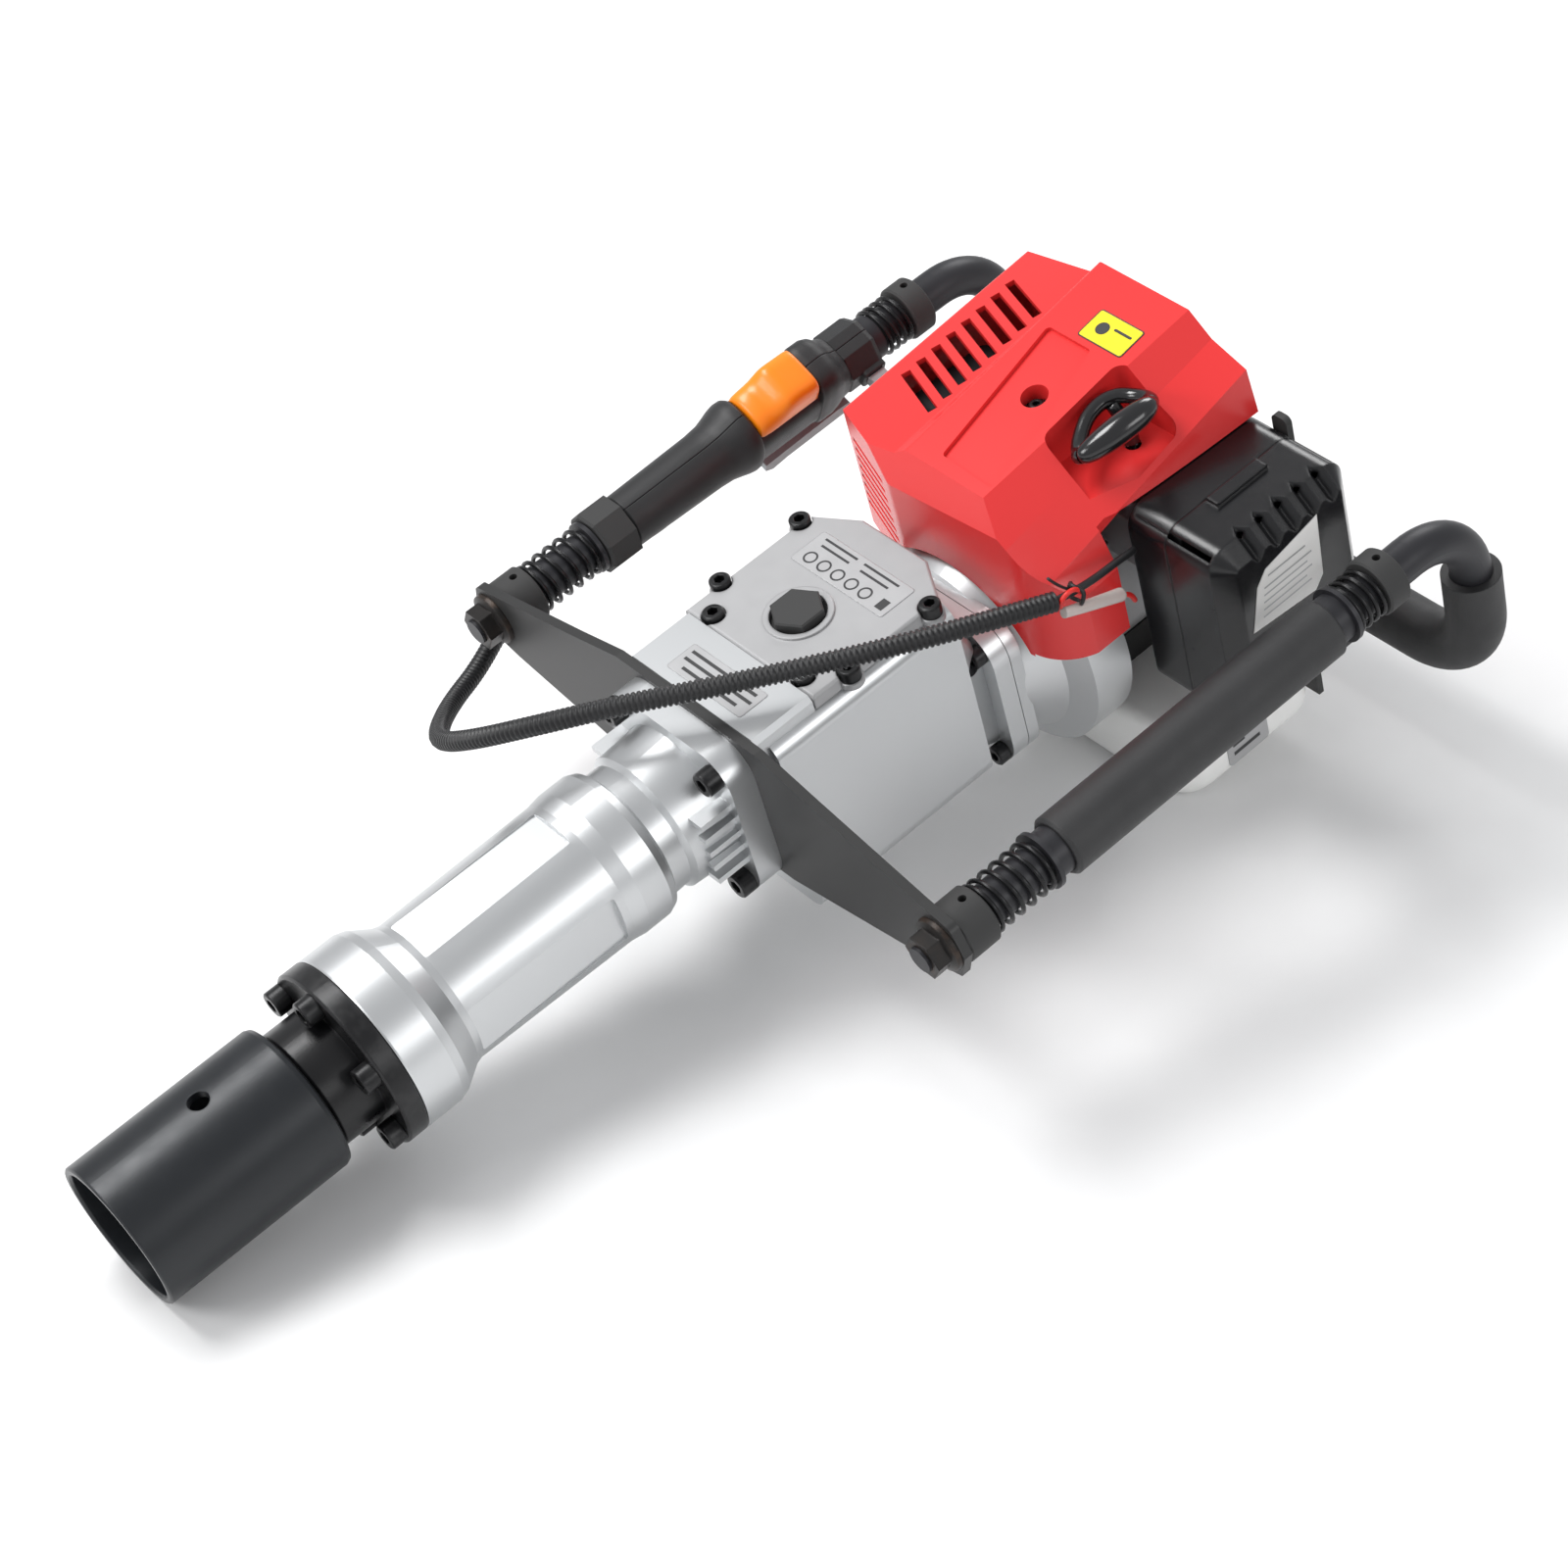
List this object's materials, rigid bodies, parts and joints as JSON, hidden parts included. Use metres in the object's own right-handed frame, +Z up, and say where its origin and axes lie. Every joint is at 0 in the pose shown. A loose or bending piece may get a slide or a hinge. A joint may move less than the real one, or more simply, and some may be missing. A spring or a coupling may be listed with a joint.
{
  "type": "petrol post driver",
  "caption": "Two-stroke post driver: engine, bevel gear case and air hammer in line, post sleeve at the nose, sprung grips on a bent tube handle.",
  "frame": {"origin": "middle of the base of the resting tool's box, on the floor", "axes": "+X from the post sleeve to the engine along the floor, +Y towards the throttle grip, +Z up; the tool lies nose low on the sleeve's rim and the fuel tank, its hammer axis tilted 11.12 degrees"},
  "size_m": [0.8672, 0.4592, 0.3061],
  "materials": {
    "black_oxide": "black oxide steel, satin",
    "forged_steel": "machined steel, lightly oiled",
    "bronze": "turned bronze",
    "dark_cast": "painted cast steel, semi gloss black",
    "bare_aluminium": "die cast aluminium",
    "zinc_screws": "zinc plated steel",
    "black_screws": "black oxide screws",
    "black_paint": "black powder coat",
    "black_tube": "gloss black powder coat",
    "black_plastic": "moulded nylon, fine grain",
    "dark_grey_plastic": "moulded nylon, fine grain",
    "grey_plastic": "moulded plastic",
    "orange_plastic": "moulded plastic, satin",
    "red_plastic": "moulded ABS, satin gloss",
    "tank_plastic": "translucent polyethylene",
    "foam": "closed cell foam rubber",
    "spring_steel": "blackened spring wire",
    "silver_paint": "silver grey paint over an aluminium die casting",
    "conduit_plastic": "corrugated split tube"
  },
  "bodies": {
    "housing": {"nose_flange": "black_oxide", "nose_bush": "bronze", "hammer_cylinder": "silver_paint", "hammer_screws": "black_screws", "bracket_plate": "black_paint", "handlebar": "black_tube", "handle_nuts": "black_screws", "spring_collars": "black_plastic", "front_springs": "spring_steel", "rear_springs": "spring_steel", "rear_foam": "foam", "gear_case": "silver_paint", "gear_cover": "silver_paint", "case_screws": "black_screws", "ball_bearings": "forged_steel", "fan_housing": "silver_paint", "crankcase": "bare_aluminium", "engine_cylinder": "bare_aluminium", "spark_plug": "forged_steel", "muffler": "dark_cast", "shroud": "red_plastic", "shroud_screw": "black_screws", "starter_housing": "black_plastic", "carburettor": "bare_aluminium", "air_filter_base": "dark_grey_plastic", "filter_element": "foam", "air_filter_cover": "dark_grey_plastic", "fuel_tank": "tank_plastic", "tank_bracket": "black_plastic", "throttle_conduit": "conduit_plastic"},
    "sleeve": {"post_sleeve": "black_oxide", "anvil": "forged_steel"},
    "striker": {"ram": "forged_steel"},
    "driver": {"drive_piston": "bare_aluminium", "hammer_rod": "bare_aluminium"},
    "crank": {"hammer_crank": "forged_steel", "bevel_gear": "forged_steel"},
    "drive": {"pinion_shaft": "forged_steel", "clutch_drum": "forged_steel"},
    "engine": {"engine_shaft": "forged_steel", "flywheel_fan": "bare_aluminium", "clutch_shoes": "dark_cast"},
    "piston": {"engine_piston": "bare_aluminium", "engine_rod": "forged_steel"},
    "right_grip": {"right_grip_tube": "black_tube", "right_grip_foam": "foam"},
    "left_grip": {"left_grip_tube": "black_tube", "grip_clamp": "black_plastic", "grip_shell_outer": "black_plastic", "grip_shell_inner": "black_plastic", "grip_screws": "zinc_screws"},
    "trigger": {"throttle_trigger": "grey_plastic"},
    "lock": {"throttle_lock": "orange_plastic"},
    "switch": {"stop_switch": "grey_plastic"},
    "throttle": {"throttle_arm": "zinc_screws"},
    "pull_handle": {"starter_handle": "black_plastic"},
    "pulley": {"starter_pulley": "black_plastic"},
    "choke": {"choke_lever": "black_plastic"},
    "filler_cap": {"tank_cap": "black_plastic"},
    "filler_plug": {"oil_plug": "black_plastic"}
  },
  "joints": [
    {"name": "sleeve_slide", "type": "slide", "parent": "housing", "child": "sleeve", "axis": [0.9812, 0, 0.1929], "range_m": [-0.012, 0]},
    {"name": "striker_slide", "type": "slide", "parent": "housing", "child": "striker", "axis": [0.9812, 0, 0.1929], "range_m": [-0.009, 0.045]},
    {"name": "driver_slide", "type": "slide", "parent": "housing", "child": "driver", "axis": [0.9812, 0, 0.1929], "range_m": [0, 0.044]},
    {"name": "crank_spin", "type": "hinge", "parent": "housing", "child": "crank", "pos_m": [0.07984, -0.00857, 0.11364], "axis": [-0.1929, 0, 0.9812], "continuous": true},
    {"name": "drive_spin", "type": "hinge", "parent": "housing", "child": "drive", "pos_m": [0.17328, -0.00857, 0.11264], "axis": [0.9812, 0, 0.1929], "continuous": true},
    {"name": "engine_spin", "type": "hinge", "parent": "housing", "child": "engine", "pos_m": [0.22234, -0.00857, 0.12228], "axis": [0.9812, 0, 0.1929], "continuous": true},
    {"name": "piston_slide", "type": "slide", "parent": "housing", "child": "piston", "axis": [-0.1929, 0, 0.9812], "range_m": [-0.006, 0.007]},
    {"name": "right_grip_slide", "type": "slide", "parent": "housing", "child": "right_grip", "axis": [0.9812, 0, 0.1929], "range_m": [-0.015, 0.01], "stiffness_N_per_m": 1500, "deforming": ["rear_springs"]},
    {"name": "left_grip_slide", "type": "slide", "parent": "housing", "child": "left_grip", "axis": [0.9812, 0, 0.1929], "range_m": [-0.015, 0.01], "stiffness_N_per_m": 1500, "deforming": ["front_springs"]},
    {"name": "trigger_pull", "type": "hinge", "parent": "left_grip", "child": "trigger", "pos_m": [0.26888, 0.20329, 0.16553], "axis": [-0.0905, 0.8829, 0.4607], "range_deg": [0, 8], "stiffness_Nm_per_rad": 0.3},
    {"name": "lock_press", "type": "slide", "parent": "left_grip", "child": "lock", "axis": [0.1703, 0.4695, -0.8664], "range_m": [0, 0.005], "stiffness_N_per_m": 200},
    {"name": "switch_slide", "type": "slide", "parent": "left_grip", "child": "switch", "axis": [0.9812, 0, 0.1929], "range_m": [-0.004, 0.004]},
    {"name": "throttle_turn", "type": "hinge", "parent": "housing", "child": "throttle", "pos_m": [0.25016, -0.08057, 0.22966], "axis": [-0.1929, 0, 0.9812], "range_deg": [0, 60]},
    {"name": "starter_pull", "type": "slide", "parent": "housing", "child": "pull_handle", "axis": [-0.1929, 0, 0.9812], "range_m": [0, 0.15], "stiffness_N_per_m": 20},
    {"name": "pulley_spin", "type": "hinge", "parent": "housing", "child": "pulley", "pos_m": [0.33616, -0.00857, 0.14466], "axis": [0.9812, 0, 0.1929], "range_deg": [-2, 288]},
    {"name": "choke_turn", "type": "hinge", "parent": "housing", "child": "choke", "pos_m": [0.34287, -0.11257, 0.21426], "axis": [0.9812, 0, 0.1929], "range_deg": [-60, 0]},
    {"name": "cap_turn", "type": "hinge", "parent": "housing", "child": "filler_cap", "pos_m": [0.27928, 0.06743, 0.0815], "axis": [-0.1929, 0, 0.9812], "range_deg": [0, 120]},
    {"name": "plug_turn", "type": "hinge", "parent": "housing", "child": "filler_plug", "pos_m": [0.06344, -0.00857, 0.19704], "axis": [-0.1929, 0, 0.9812], "range_deg": [0, 180]}
  ],
  "couplings": [
    {"joint": "crank_spin", "follows": "drive_spin", "ratio": -0.2558},
    {"joint": "throttle_turn", "follows": "trigger_pull", "ratio": 7.5},
    {"joint": "pulley_spin", "follows": "starter_pull", "rad_per_m": 33.333}
  ]
}
